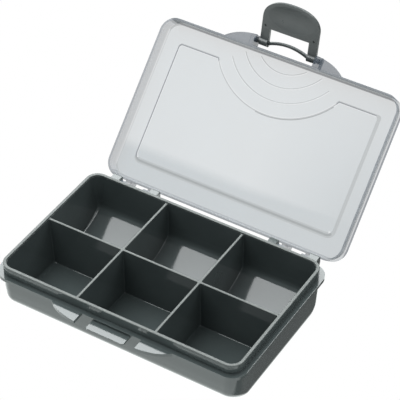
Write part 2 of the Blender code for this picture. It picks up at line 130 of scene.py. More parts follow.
# Latch
LATCH_Y = -37.22 * MM
LATCH_Z = 24.25 * MM
LATCH_HALF = 12.6 * MM
LATCH_LENGTH = 19.4 * MM
LATCH_THICK = 1.2 * MM
LATCH_FACE = 0.27 * MM
LATCH_BOSS = 1.5 * MM
LATCH_STUB = 1.0 * MM
LATCH_HOLE = 1.15 * MM
LATCH_WINDOW_HALF = 8.75 * MM
LATCH_WINDOW_FOOT = 6.5 * MM
LATCH_OPEN = 55.6
LATCH_LUGS = (13.35 * MM, 15.35 * MM)
LATCH_LUG_RADIUS = 1.75 * MM
DISH_CENTRE = 13.1 * MM
DISH_HALF = (10.5 * MM, 5.35 * MM)
DISH_DEPTH = 0.5 * MM

TOOLS = bpy.data.collections.new("shaping_tools")
bpy.context.scene.collection.children.link(TOOLS)
SHOWN = bpy.context.scene.collection


# Mesh helpers
def add_object(name, mesh):
    obj = bpy.data.objects.new(name, mesh)
    TOOLS.objects.link(obj)
    return obj


def evaluated_mesh(obj):
    bpy.context.view_layer.update()
    graph = bpy.context.evaluated_depsgraph_get()
    return bpy.data.meshes.new_from_object(obj.evaluated_get(graph))


def baked(obj):
    mesh = evaluated_mesh(obj)
    obj.modifiers.clear()
    obj.data = mesh
    mesh.transform(obj.matrix_world)
    obj.matrix_world = Matrix.Identity(4)
    return obj


def boolean(target, tool, operation):
    modifier = target.modifiers.new(operation.title(), "BOOLEAN")
    modifier.operation = operation
    modifier.solver = "EXACT"
    modifier.object = tool
    baked(target)
    bpy.data.objects.remove(tool, do_unlink=True)
    return target


def cut(target, tool):
    return boolean(target, tool, "DIFFERENCE")


def join(target, tool):
    return boolean(target, tool, "UNION")


def merged(objs):
    """Meshes that don't touch each other, as one object."""
    bm = bmesh.new()
    for obj in objs:
        bm.from_mesh(obj.data)
        bpy.data.objects.remove(obj, do_unlink=True)
    mesh = bpy.data.meshes.new("merged")
    bm.to_mesh(mesh)
    bm.free()
    return add_object("merged", mesh)


def bevel(obj, width, segments=2, angle=40.0):
    modifier = obj.modifiers.new("Bevel", "BEVEL")
    modifier.width = width
    modifier.segments = segments
    modifier.limit_method = "ANGLE"
    modifier.angle_limit = math.radians(angle)
    return baked(obj)


def rounded_rectangle(x0, x1, y0, y1, radii, segments=7):
    ne, nw, sw, se = radii
    corners = (
        (x1 - ne, y1 - ne, ne, 0),
        (x0 + nw, y1 - nw, nw, 90),
        (x0 + sw, y0 + sw, sw, 180),
        (x1 - se, y0 + se, se, 270),
    )
    points = []
    for cx, cy, radius, start in corners:
        for i in range(segments + 1):
            angle = math.radians(start + 90.0 * i / segments)
            points.append((cx + radius * math.cos(angle), cy + radius * math.sin(angle)))
    return points


def loft(name, rings):
    bm = bmesh.new()
    rows = [[bm.verts.new((x, y, z)) for x, y in outline] for z, outline in rings]
    count = len(rows[0])
    for low, high in zip(rows, rows[1:]):
        for i in range(count):
            j = (i + 1) % count
            bm.faces.new((low[i], low[j], high[j], high[i]))
    bm.faces.new(list(reversed(rows[0])))
    bm.faces.new(rows[-1])
    mesh = bpy.data.meshes.new(name)
    bm.to_mesh(mesh)
    bm.free()
    return add_object(name, mesh)


def plate(name, outlines, low, high, plane="XY"):
    curve = bpy.data.curves.new(name, "CURVE")
    curve.dimensions = "2D"
    curve.fill_mode = "BOTH"
    curve.extrude = (high - low) / 2
    for outline in outlines:
        spline = curve.splines.new("POLY")
        spline.points.add(len(outline) - 1)
        for point, (x, y) in zip(spline.points, outline):
            point.co = (x, y, 0.0, 1.0)
        spline.use_cyclic_u = True
    shape = add_object(name + "_curve", curve)
    middle = (low + high) / 2
    if plane == "XY":
        shape.location = (0.0, 0.0, middle)
    else:
        shape.rotation_euler = (math.radians(90), 0.0, math.radians(90))
        shape.location = (middle, 0.0, 0.0)
    mesh = evaluated_mesh(shape)
    bm = bmesh.new()
    bm.from_mesh(mesh)
    bmesh.ops.remove_doubles(bm, verts=bm.verts, dist=1e-7)
    bmesh.ops.recalc_face_normals(bm, faces=bm.faces)
    bm.to_mesh(mesh)
    bm.free()
    obj = add_object(name, mesh)
    obj.matrix_world = shape.matrix_world.copy()
    bpy.data.objects.remove(shape, do_unlink=True)
    return baked(obj)


def rod(name, radius, x0, x1, y, z, vertices=40):
    ring = [
        (radius * math.cos(2 * math.pi * i / vertices), radius * math.sin(2 * math.pi * i / vertices))
        for i in range(vertices)
    ]
    obj = loft(name, [(x0, ring), (x1, ring)])
    obj.data.transform(Matrix.Translation((0.0, y, z)) @ Matrix.Rotation(math.radians(90), 4, "Y"))
    return obj


def arc_points(cx, cy, radius, start, end, count):
    return [
        (
            cx + radius * math.cos(math.radians(start + (end - start) * i / count)),
            cy + radius * math.sin(math.radians(start + (end - start) * i / count)),
        )
        for i in range(count + 1)
    ]


def eased_limit(value, limit, ease):
    over = limit - value
    return limit - (over + math.sqrt(over * over + 4 * ease * ease)) / 2


def fillet(rise, radius):
    return radius - math.sqrt(max(radius**2 - max(radius - rise, 0.0) ** 2, 0.0))


# Profiles of the tray
def keel_reach(z, flat):
    if z >= 12.0 * MM:
        return RIM_WIDTH / 2
    rolled = flat + math.sqrt(max(KEEL_RADIUS**2 - (KEEL_RADIUS - z) ** 2, 0.0))
    return flat if z <= 0 else eased_limit(rolled, RIM_WIDTH / 2, 0.35 * MM)


def end_reach(z):
    slope = SIDE_FOOT_DRAFT * max(0.0, 1.0 - z / LEDGE_TOP)
    radius = SIDE_FOOT_RADIUS
    inset = radius - math.sqrt(max(radius**2 - max(radius - z, 0.0) ** 2, 0.0))
    return RIM_LENGTH / 2 - slope - inset


def scoop_reach(z, flat):
    wall = RIM_WIDTH / 2 - RIM_WALL
    rise = z - FLOOR_TOP
    if rise >= 10.0 * MM:
        return wall
    rolled = flat + math.sqrt(max(SCOOP_RADIUS**2 - (SCOOP_RADIUS - rise) ** 2, 0.0))
    return eased_limit(rolled, wall, 0.7 * MM)


def cell_end(z):
    rise = z - FLOOR_TOP
    top = RIM_LENGTH / 2 - RIM_WALL
    wall = CELL_END_FOOT + (top - CELL_END_FOOT) * min(rise / (RIM_TOP - FLOOR_TOP), 1.0)
    return wall - fillet(rise, CELL_END_FILLET)


def cell_corner(z):
    """The rounding of the outer corners tightens down the wall, to a plain crease in the scoop."""
    share = min(max((z - 7.0 * MM) / (12.0 * MM), 0.0), 1.0)
    return CELL_CORNER_FOOT + (CELL_CORNER - CELL_CORNER_FOOT) * share * share * (3 - 2 * share)


def divider_half(z):
    half = DIVIDER_THICK / 2 + DIVIDER_DRAFT * max(DIVIDER_TOP - z, 0.0)
    eased = fillet(DIVIDER_TOP - z, DIVIDER_EDGE) if z < DIVIDER_TOP else DIVIDER_EDGE
    return half + fillet(z - FLOOR_TOP, CELL_FILLET) - eased


def bow(half_y, rise, gap_half, steps=16):
    points = []
    for i in range(steps + 1):
        x = -ARCH_HALF + (ARCH_HALF - gap_half) * i / steps
        points.append((x, -half_y - rise * (1 - abs(x / ARCH_HALF) ** ARCH_POWER)))
    return points


def bow_outlines(half_y, rise, gap_half, root):
    front = bow(half_y, rise, gap_half)
    wing = [(-ARCH_HALF, root)] + front + [(-gap_half, root)]
    return wing, [(-x, y) for x, y in wing]


def made_tray():
    levels = [0.0, 0.03, 0.1, 0.22, 0.4, 0.62, 0.9, 1.2, 1.6, 2.0, 2.5, 3.0, 3.6, 4.3, 5.0, 5.8]
    levels += [6.6, 7.5, 8.4, 9.3, 10.3, 11.2, 12.0, 14.0]
    rings = []
    for level in levels:
        z = level * MM
        x = end_reach(z)
        corner = RIM_CORNER + (FOOT_CORNER - RIM_CORNER) * max(0.0, 1 - z / (14 * MM))
        rings.append(
            (
                z,
                rounded_rectangle(
                    -x, x, -keel_reach(z, KEEL_FLAT_FRONT), keel_reach(z, KEEL_FLAT_REAR), (corner,) * 4, 16
                ),
            )
        )
    for i in range(6):
        angle = math.radians(90.0 * i / 5)
        inset = 0.32 * MM * (1 - math.cos(angle))
        x, y = RIM_LENGTH / 2 - inset, RIM_WIDTH / 2 - inset
        rings.append(
            (
                RIM_TOP - 0.32 * MM * (1 - math.sin(angle)),
                rounded_rectangle(-x, x, -y, y, (RIM_CORNER - inset,) * 4, 16),
            )
        )
    tray = loft("tray", rings)

    x, y = LEDGE_LENGTH / 2, LEDGE_WIDTH / 2
    outline = rounded_rectangle(-x, x, -y, y, (LEDGE_CORNER,) * 4, 16)
    join(tray, bevel(plate("ledge", [outline], LEDGE_TOP - LEDGE_THICK, LEDGE_TOP), 0.58 * MM, 8, 60.0))
    added = []
    for outline in bow_outlines(y, ARCH_RISE, CATCH_GAP_HALF, -y + MM):
        wing = plate("wing", [outline], LEDGE_TOP - LEDGE_THICK + 0.02 * MM, LEDGE_TOP - 0.02 * MM)
        added.append(bevel(wing, 0.3 * MM, 5, 60.0))
    outline = rounded_rectangle(
        -TAB_HALF, TAB_HALF, -TAB_FRONT, -30.0 * MM, (0.5 * MM, 0.5 * MM, 0.9 * MM, 0.9 * MM), 6
    )
    added.append(bevel(plate("tab", [outline], TAB_TOP - TAB_THICK, TAB_TOP), 0.22 * MM, 3, 60.0))
    for low, high in BEADS:
        # A bead segment is a bar along the rim's front wall, tapering away round the corners.
        x0, x1 = max(low, -RIM_LENGTH / 2 + 0.4 * MM), min(high, RIM_LENGTH / 2 - 0.4 * MM)
        left = RIM_CORNER - 0.2 * MM if low < -RIM_LENGTH / 2 else 0.35 * MM
        right = RIM_CORNER - 0.2 * MM if high > RIM_LENGTH / 2 else 0.35 * MM
        y0 = -RIM_WIDTH / 2 - BEAD_PROUD
        outline = rounded_rectangle(x0, x1, y0, -RIM_WIDTH / 2 + 6.0 * MM, (0.1 * MM, 0.1 * MM, left, right), 10)
        bead_rings = []
        for i in range(9):
            share = i / 8
            swell = math.sin(math.pi * share) ** 0.5 if 0 < share < 1 else 0.0
            back = BEAD_PROUD * (1 - swell) + 0.02 * MM * (1 - swell)
            shifted = [(px, py + back if py < -RIM_WIDTH / 2 + 5.0 * MM else py) for px, py in outline]
            bead_rings.append((BEAD_TOP - BEAD_TALL * (1 - share), shifted))
        added.append(loft("bead", bead_rings))
    lug_outline = [(31.9 * MM, 11.4 * MM)]
    lug_outline += arc_points(HINGE_Y, HINGE_Z, LUG_RADIUS, -75, 0, 12)
    lug_outline += arc_points(
        HINGE_Y + LUG_RADIUS - LUG_EASE - 0.05 * MM, HINGE_Z + LUG_RADIUS - LUG_EASE, LUG_EASE, 0, 90, 8
    )
    lug_outline += [(31.9 * MM, HINGE_Z + LUG_RADIUS)]
    bores = []
    for side in (-1, 1):
        for low, high in LUG_SPANS:
            span = sorted((side * low, side * high))
            added.append(bevel(plate("lug", [lug_outline], span[0], span[1], "YZ"), 0.2 * MM, 2, 60.0))
            bores.append(rod("bore", HINGE_HOLE, span[0] - MM, span[1] + MM, HINGE_Y, HINGE_Z))
    join(tray, merged(added))
    cut(tray, merged(bores))

    steps = [0.0, 0.02, 0.08, 0.18, 0.3, 0.45, 0.6, 0.85, 1.2, 1.6, 2.1, 2.6, 3.2, 3.9, 4.6, 5.4, 6.3]
    steps += [7.2, 8.2, 9.2, 10.0, 15.0]
    steps = [FLOOR_TOP + rise * MM for rise in steps]
    steps += [DIVIDER_TOP - DIVIDER_EDGE * (1 - math.sin(math.radians(a))) for a in (0, 20, 45, 67, 89.9)]
    steps.append(RIM_TOP + 1.7 * MM)
    cells = []
    for column in (-1, 0, 1):
        for row in (-1, 1):
            rings = []
            for z in steps:
                half = divider_half(z)
                if column == 0:
                    x0, x1 = -DIVIDER_X + half, DIVIDER_X - half
                else:
                    x0, x1 = sorted((column * (DIVIDER_X + half), column * cell_end(z)))
                near = DIVIDER_Y + row * half
                far = row * scoop_reach(z, SCOOP_FLAT_REAR if row > 0 else SCOOP_FLAT_FRONT)
                y0, y1 = sorted((near, far))
                radii = [0.5 * MM] * 4
                if column != 0:
                    radii[{(1, 1): 0, (-1, 1): 1, (-1, -1): 2, (1, -1): 3}[(column, row)]] = cell_corner(z)
                rings.append((z, rounded_rectangle(x0, x1, y0, y1, radii, 9)))
            cells.append(loft("cell", rings))
    cut(tray, merged(cells))

    relief = 0.06 * MM
    inner_x = RIM_LENGTH / 2 - RIM_WALL + relief
    inner_y = RIM_WIDTH / 2 - RIM_WALL + relief
    rings = [(DIVIDER_TOP, rounded_rectangle(-inner_x, inner_x, -inner_y, inner_y, (CELL_CORNER,) * 4, 16))]
    for i in range(6):
        angle = math.radians(90.0 * i / 5)
        out = 0.3 * MM * (1 - math.cos(angle))
        x, y = inner_x + out, inner_y + out
        rings.append(
            (
                RIM_TOP - 0.3 * MM * (1 - math.sin(angle)),
                rounded_rectangle(-x, x, -y, y, (CELL_CORNER + out,) * 4, 16),
            )
        )
    rings.append((RIM_TOP + MM, rings[-1][1]))
    cut(tray, loft("rim_opening", rings))
    return tray


# Lid, shaped in its closed place
def lid_ring(depth, inset):
    draft = LID_DRAFT * (LID_TOP - LID_FOOT - depth)
    x = LID_LENGTH / 2 - draft - inset
    y = LID_WIDTH / 2 - draft - inset
    return rounded_rectangle(-x, x, -y, y, (LID_CORNER - inset,) * 4, 16)


def panel_outline(inset):
    """The panel's step is steeper to the left and in front than to the right and behind."""
    left, front = -PANEL_HALF + inset, -PANEL_FRONT + inset
    right, rear = PANEL_HALF - 2.2 * inset, PANEL_REAR - 2.2 * inset
    radius, corner = PANEL_BITE + inset, 3.2 * MM - inset
    small = 1.3 * MM
    bite = math.degrees(math.asin((front - ARC_CENTRE_Y) / radius))
    points = arc_points(left + small, front + small, small, 180, 270, 5)
    points += arc_points(0.0, ARC_CENTRE_Y, radius, 180 - bite, bite, 48)
    points += arc_points(right - small, front + small, small, 270, 360, 5)
    points += arc_points(right - corner, rear - corner, corner, 0, 90, 8)
    points += arc_points(left + corner, rear - corner, corner, 90, 180, 8)
    return points


def made_lid():
    height = LID_TOP - LID_FOOT
    rings = [(LID_FOOT, lid_ring(height, 0.18 * MM)), (LID_FOOT + 0.18 * MM, lid_ring(height - 0.18 * MM, 0.0))]
    for i in range(9):
        angle = math.radians(90.0 * i / 8)
        sink = LID_EDGE * (1 - math.sin(angle))
        rings.append((LID_TOP - sink, lid_ring(sink, LID_EDGE * (1 - math.cos(angle)))))
    lid = loft("lid", rings)

    added = []
    for outline in bow_outlines(LID_WIDTH / 2, LID_ARCH_RISE, LATCH_LUGS[0], -LID_WIDTH / 2 + 0.6 * MM):
        flange = plate("lid_flange", [outline], LID_FLANGE_FOOT, LID_FLANGE_FOOT + LID_FLANGE_THICK)
        added.append(bevel(flange, 0.3 * MM, 3, 60.0))
    join(lid, merged(added))

    latch_lug = [(-33.6 * MM, LID_FOOT + 0.5 * MM), (-38.2 * MM, LID_FOOT + 0.5 * MM)]
    latch_lug += arc_points(LATCH_Y, LATCH_Z, LATCH_LUG_RADIUS, 190, 75, 16)
    latch_lug += [(-33.6 * MM, LATCH_Z + LATCH_LUG_RADIUS - 0.2 * MM)]
    arm = [(33.75 * MM, 24.8 * MM), (33.75 * MM, 20.4 * MM), (HINGE_Y - ARM_RADIUS, 20.4 * MM)]
    arm += arc_points(HINGE_Y, HINGE_Z, ARM_RADIUS, 180, 360, 20)
    arm += [(HINGE_Y + ARM_RADIUS, 21.0 * MM), (35.9 * MM, 24.8 * MM)]
    added, pins, bores = [], [], []
    for side in (-1, 1):
        span = sorted((side * LATCH_LUGS[0], side * LATCH_LUGS[1]))
        added.append(plate("latch_lug", [latch_lug], span[0], span[1], "YZ"))
        bores.append(rod("latch_bore", LATCH_HOLE, span[0] - MM, span[1] + MM, LATCH_Y, LATCH_Z))
        pin_spans = (
            (LUG_SPANS[0][1] - 2.2 * MM, ARM_SPANS[0][0] + MM),
            (ARM_SPANS[1][1] - MM, LUG_SPANS[1][0] + 2.2 * MM),
        )
        for (low, high), (pin_low, pin_high) in zip(ARM_SPANS, pin_spans):
            span = sorted((side * low, side * high))
            added.append(bevel(plate("arm", [arm], span[0], span[1], "YZ"), 0.15 * MM, 2, 60.0))
            span = sorted((side * pin_low, side * pin_high))
            pins.append(rod("hinge_pin", HINGE_PIN, span[0], span[1], HINGE_Y, HINGE_Z))
    join(lid, merged(added))
    join(lid, merged(pins))
    cut(lid, merged(bores))

    roof = LID_TOP - LID_ROOF
    rings = [(LID_FOOT - MM, lid_ring(height + MM, LID_WALL))]
    for i in range(7):
        angle = math.radians(90.0 * i / 6)
        sink = 0.6 * MM * (1 - math.sin(angle))
        inset = 0.6 * MM * (1 - math.cos(angle))
        rings.append((roof - sink, lid_ring(LID_ROOF + sink, LID_WALL + inset)))
    cut(lid, loft("lid_hollow", rings))

    rings = [
        (roof - MM, panel_outline(0.0)),
        (roof, panel_outline(0.0)),
        (roof + PANEL_DEPTH * 0.18, panel_outline(PANEL_SLOPE * 0.3)),
        (roof + PANEL_DEPTH * 0.82, panel_outline(PANEL_SLOPE * 0.7)),
        (roof + PANEL_DEPTH, panel_outline(PANEL_SLOPE)),
    ]
    cut(lid, loft("panel", rings))

    ribs = []
    for radius, end in zip(ARC_RADII, ARC_ENDS):
        start = math.degrees(math.asin(end / radius))
        bm = bmesh.new()
        section = [(-1.0, -0.5), (-1.0, 0.0), (-0.62, 0.62), (0.0, 1.0), (0.62, 0.62), (1.0, 0.0), (1.0, -0.5)]
        rows = []
        count = 56
        for i in range(count + 1):
            share = i / count
            taper = min(1.0, 0.12 + 3.0 * math.sin(math.pi * share)) if 0 < share < 1 else 0.12
            angle = math.radians(90 + start - 2 * start * share)
            row = []
            for across, up in section:
                r = radius - ARC_WIDTH / 2 + across * ARC_WIDTH / 2
                z = roof - up * ARC_HEIGHT * taper if up > 0 else roof - up * 0.4 * MM
                row.append(bm.verts.new((r * math.cos(angle), ARC_CENTRE_Y + r * math.sin(angle), z)))
            rows.append(row)
        for a, b in zip(rows, rows[1:]):
            for i in range(len(section)):
                j = (i + 1) % len(section)
                bm.faces.new((a[i], a[j], b[j], b[i]))
        bm.faces.new(list(reversed(rows[0])))
        bm.faces.new(rows[-1])
        bmesh.ops.recalc_face_normals(bm, faces=bm.faces)
        mesh = bpy.data.meshes.new("arc_rib")
        bm.to_mesh(mesh)
        bm.free()
        ribs.append(add_object("arc_rib", mesh))
    join(lid, merged(ribs))
    return lid


# Latch, shaped about its pivot, hanging straight down: x across, q down from the pivot
def d_outline(inset, top, count=24):
    start = 11.2 * MM
    right = [(LATCH_HALF - inset, top)]
    for i in range(count + 1):
        angle = math.radians(90.0 * i / count)
        power = 2 / 2.35
        x = (LATCH_HALF - inset) * math.cos(angle) ** power if i < count else 0.0
        q = start + (LATCH_LENGTH - start - inset) * math.sin(angle) ** power
        right.append((x, q))
    left = [(-x, q) for x, q in reversed(right[:-1])]
    return right + left


def made_latch():
    leg_in, leg_top = 8.75 * MM, -1.55 * MM
    steps = [i / 12 for i in range(-12, 13)]
    outline = [(leg_in, leg_top), (LATCH_HALF, leg_top)] + d_outline(0.0, 2.0 * MM)
    outline += [(-LATCH_HALF, leg_top), (-leg_in, leg_top)]
    outline += [(leg_in * i, (1.25 - 1.95 * i * i) * MM) for i in steps]
    window = [(LATCH_WINDOW_HALF, LATCH_WINDOW_FOOT), (-LATCH_WINDOW_HALF, LATCH_WINDOW_FOOT)]
    window += [(LATCH_WINDOW_HALF * i, (2.15 - 1.65 * i * i) * MM) for i in steps]
    latch = plate("latch", [outline, window], -LATCH_THICK + LATCH_FACE, LATCH_FACE)
    bevel(latch, 0.28 * MM, 3, 60.0)
    bm = bmesh.new()
    bmesh.ops.create_uvsphere(bm, u_segments=72, v_segments=48, radius=1.0)
    mesh = bpy.data.meshes.new("dish")
    # A shallow cap of a large ellipsoid: at the face it spans the dish's outline.
    reach = 3.0
    over = math.sqrt(reach**2 - 1)
    tall = DISH_DEPTH / (reach - over) * reach
    for vert in bm.verts:
        x, y, z = vert.co
        vert.co = (
            x * DISH_HALF[0] * reach,
            y * DISH_HALF[1] * reach,
            z * tall,
        )
    bm.to_mesh(mesh)
    bm.free()
    dish = add_object("dish", mesh)
    dish.location = (0.0, DISH_CENTRE, LATCH_FACE + tall * over / reach)
    cut(latch, baked(dish))
    pits = []
    for side in (-1, 1):
        pit = rod("pit", 0.55 * MM, 0.0, MM, 0.0, 0.0, 20)
        pit.data.transform(
            Matrix.Translation((side * 10.85 * MM, 7.65 * MM, LATCH_FACE - 0.35 * MM))
            @ Matrix.Rotation(math.radians(-90), 4, "Y")
        )
        pits.append(pit)
    cut(latch, merged(pits))
    latch.data.transform(Matrix.Rotation(math.radians(-90), 4, "X"))
    bosses, stubs = [], []
    for side in (-1, 1):
        span = sorted((side * (leg_in + 0.2 * MM), side * (LATCH_HALF - 0.15 * MM)))
        bosses.append(rod("boss", LATCH_BOSS, span[0], span[1], 0.0, 0.0, 36))
        span = sorted((side * (LATCH_HALF - MM), side * (LATCH_LUGS[1] - 0.3 * MM)))
        stubs.append(rod("stub", LATCH_STUB, span[0], span[1], 0.0, 0.0, 36))
    join(latch, merged(bosses))
    join(latch, merged(stubs))
    return latch


# Materials
class Nodes:
    """A short way to build a node tree."""

    def __init__(self, name):
        self.material = bpy.data.materials.new(name)
        self.material.use_nodes = True
        self.tree = self.material.node_tree
        self.shader = self.tree.nodes["Principled BSDF"]
        self.output = self.tree.nodes["Material Output"]

    def add(self, kind, **settings):
        node = self.tree.nodes.new(kind)
        for key, value in settings.items():
            if hasattr(node, key):
                setattr(node, key, value)
            else:
                node.inputs[key.replace("_", " ")].default_value = value
        return node

    def link(self, source, target):
        self.tree.links.new(source, target)

    def noise(self, scale, detail=3.0, roughness=0.5):
        coordinates = self.add("ShaderNodeTexCoord")
        noise = self.add("ShaderNodeTexNoise")
        noise.inputs["Scale"].default_value = scale
        noise.inputs["Detail"].default_value = detail
        noise.inputs["Roughness"].default_value = roughness
        self.link(coordinates.outputs["Object"], noise.inputs["Vector"])
        return noise.outputs["Fac"]

    def span(self, source, low, high, from_low=0.3, from_high=0.7):
        mapped = self.add("ShaderNodeMapRange")
        mapped.inputs["From Min"].default_value = from_low
        mapped.inputs["From Max"].default_value = from_high
        mapped.inputs["To Min"].default_value = low
        mapped.inputs["To Max"].default_value = high
        self.link(source, mapped.inputs["Value"])
        return mapped.outputs["Result"]

    def ramp(self, source, stops):
        ramp = self.add("ShaderNodeValToRGB")
        elements = ramp.color_ramp.elements
        for element, (place, colour) in zip(elements, stops):
            element.position = place
            element.color = (*colour, 1.0)
        for place, colour in stops[2:]:
            element = elements.new(place)
            element.color = (*colour, 1.0)
        self.link(source, ramp.inputs["Fac"])
        return ramp.outputs["Color"]

    def bump(self, source, strength, distance):
        bump = self.add("ShaderNodeBump")
        bump.inputs["Strength"].default_value = strength
        bump.inputs["Distance"].default_value = distance
        self.link(source, bump.inputs["Height"])
        self.link(bump.outputs["Normal"], self.shader.inputs["Normal"])


def tray_plastic():
    """Dark grey-green moulded plastic with a smooth, slightly rippled gloss."""
    n = Nodes("tray_plastic_look")
    colour = n.ramp(n.noise(55.0, 4.0), [(0.3, (0.0480, 0.0590, 0.0590)), (0.7, (0.0570, 0.0690, 0.0690))])
    n.link(colour, n.shader.inputs["Base Color"])
    n.link(n.span(n.noise(140.0, 5.0, 0.6), 0.07, 0.11), n.shader.inputs["Roughness"])
    n.shader.inputs["IOR"].default_value = 1.5
    n.bump(n.noise(60.0, 1.0), 0.01, 0.00001)
    return n.material


def rim_highlight_plastic():
    """The same plastic on the tops of the rim and the dividers, rougher and matte, in a lighter colour that is a
    painted highlight.
    """
    n = Nodes("rim_painted_highlight_look")
    # Painted highlight: a lighter grey-green than the tray's own colour.
    colour = n.ramp(n.noise(70.0, 4.0), [(0.3, (0.068, 0.076, 0.073)), (0.7, (0.080, 0.089, 0.085))])
    n.link(colour, n.shader.inputs["Base Color"])
    n.link(n.span(n.noise(420.0, 4.0, 0.6), 0.50, 0.60), n.shader.inputs["Roughness"])
    n.shader.inputs["IOR"].default_value = 1.5
    n.bump(n.noise(1800.0, 2.0), 0.10, 0.00002)
    return n.material


def latch_plastic():
    """The latch's plastic is the same grey with a finer satin face."""
    n = Nodes("latch_plastic_look")
    colour = n.ramp(n.noise(90.0, 4.0), [(0.3, (0.044, 0.050, 0.050)), (0.7, (0.053, 0.060, 0.060))])
    n.link(colour, n.shader.inputs["Base Color"])
    n.link(n.span(n.noise(220.0, 5.0, 0.6), 0.27, 0.36), n.shader.inputs["Roughness"])
    n.shader.inputs["IOR"].default_value = 1.5
    n.bump(n.noise(2400.0, 3.0), 0.10, 0.00002)
    return n.material


def clear_plastic(name, colour, alpha_face, alpha_edge, rough=0.08, specular=0.5, shade_opacity=0.0):
    """Clear polystyrene, thin and faintly smoky, more opaque where it is seen along its thickness, and with painted
    shade towards its hinge side and right end where asked.
    """
    n = Nodes(name)
    low = tuple(0.93 * part for part in colour)
    high = tuple(1.07 * part for part in colour)
    n.link(n.ramp(n.noise(30.0, 3.0), [(0.3, low), (0.7, high)]), n.shader.inputs["Base Color"])
    n.link(n.span(n.noise(120.0, 4.0), rough, rough + 0.06), n.shader.inputs["Roughness"])
    n.shader.inputs["IOR"].default_value = 1.5
    n.shader.inputs["Specular IOR Level"].default_value = specular
    weight = n.add("ShaderNodeLayerWeight")
    weight.inputs["Blend"].default_value = 0.35
    alpha = n.span(weight.outputs["Facing"], alpha_face, alpha_edge, 0.0, 1.0)
    if shade_opacity:
        # Painted shade: the sheet is made more opaque, and so darker, towards its hinge side and its right end.
        place = n.add("ShaderNodeTexCoord")
        axes = n.add("ShaderNodeSeparateXYZ")
        n.link(place.outputs["Object"], axes.inputs["Vector"])
        foot = n.span(axes.outputs["Z"], 3.0, 0.0, 0.015, 0.024)
        low_part = n.span(axes.outputs["Z"], 1.0, 0.25, 0.020, 0.060)
        right_part = n.span(axes.outputs["X"], 0.0, 1.0, 0.005, 0.048)
        side = n.add("ShaderNodeMath")
        side.operation = "MULTIPLY"
        n.link(low_part, side.inputs[0])
        n.link(right_part, side.inputs[1])
        both = n.add("ShaderNodeMath")
        both.operation = "ADD"
        n.link(foot, both.inputs[0])
        n.link(side.outputs[0], both.inputs[1])
        extra = n.span(both.outputs[0], 0.0, shade_opacity, 0.0, 1.0)
        total = n.add("ShaderNodeMath")
        total.operation = "ADD"
        n.link(alpha, total.inputs[0])
        n.link(extra, total.inputs[1])
        alpha = total.outputs[0]
    n.link(alpha, n.shader.inputs["Alpha"])
    n.bump(n.noise(90.0, 2.0), 0.02, 0.00002)
    return n.material


# Placing
def shown(obj, name, materials, body, node):
    obj.name = name
    obj.data.name = name
    obj.data.materials.clear()
    for material in materials:
        obj.data.materials.append(material)
    obj.data.shade_smooth()
    obj.data.set_sharp_from_angle(angle=math.radians(30))
    TOOLS.objects.unlink(obj)
    SHOWN.objects.link(obj)
    weighted = obj.modifiers.new("Weighted normals", "WEIGHTED_NORMAL")
    weighted.keep_sharp = True
    weighted.mode = "FACE_AREA"
    weighted.weight = 60
    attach(obj, body)
    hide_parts(node)
    return obj


tray = made_tray()
lid = made_lid()
latch = made_latch()

hinge = Vector((0.0, HINGE_Y, HINGE_Z))
open_lid = Matrix.Translation(hinge) @ Matrix.Rotation(math.radians(-LID_OPEN), 4, "X") @ Matrix.Translation(-hinge)
open_latch = (
    open_lid
    @ Matrix.Translation((0.0, LATCH_Y, LATCH_Z))
    @ Matrix.Rotation(math.radians(-LATCH_OPEN), 4, "X")
)

SHEET, SOFT_SHADE, SHADE_LINE, PAINTED_GLINT, WALL, TRIM, DEEP_SHADE, FRONT, SIDE, EDGE = range(10)


def step_look(c, roof):
    """Which copy of the clear plastic a sloped face of the panel's step or of a rib gets, by the side that it is
    on: painted shade, soft or as a dark line, or a painted highlight.
    """
    share = (c.z - roof) / PANEL_DEPTH
    if c.z < roof:  # ribs
        reach = math.hypot(c.x, c.y - ARC_CENTRE_Y)
        outer = any(abs(reach - radius + ARC_WIDTH / 4) < ARC_WIDTH / 4 for radius in ARC_RADII)
        return PAINTED_GLINT if outer else SOFT_SHADE
    strip = 0 if share < 0.18 else 1 if share < 0.8 else 2
    if c.y > PANEL_REAR - 2.3 * MM:
        return (SOFT_SHADE, DEEP_SHADE, SOFT_SHADE)[strip]
    if c.x > PANEL_HALF - 2.3 * MM:
        return (SOFT_SHADE, SOFT_SHADE, SHEET)[strip]
    if c.x < -PANEL_HALF + 1.1 * MM:
        return (SHEET, SHADE_LINE, PAINTED_GLINT)[strip]
    if abs(c.x) > 26.5 * MM:
        return (SOFT_SHADE, SHADE_LINE, PAINTED_GLINT)[strip]
    return (PAINTED_GLINT, SOFT_SHADE, SHEET)[strip] if c.x < -4.0 * MM else (PAINTED_GLINT, SOFT_SHADE, DEEP_SHADE)[strip]


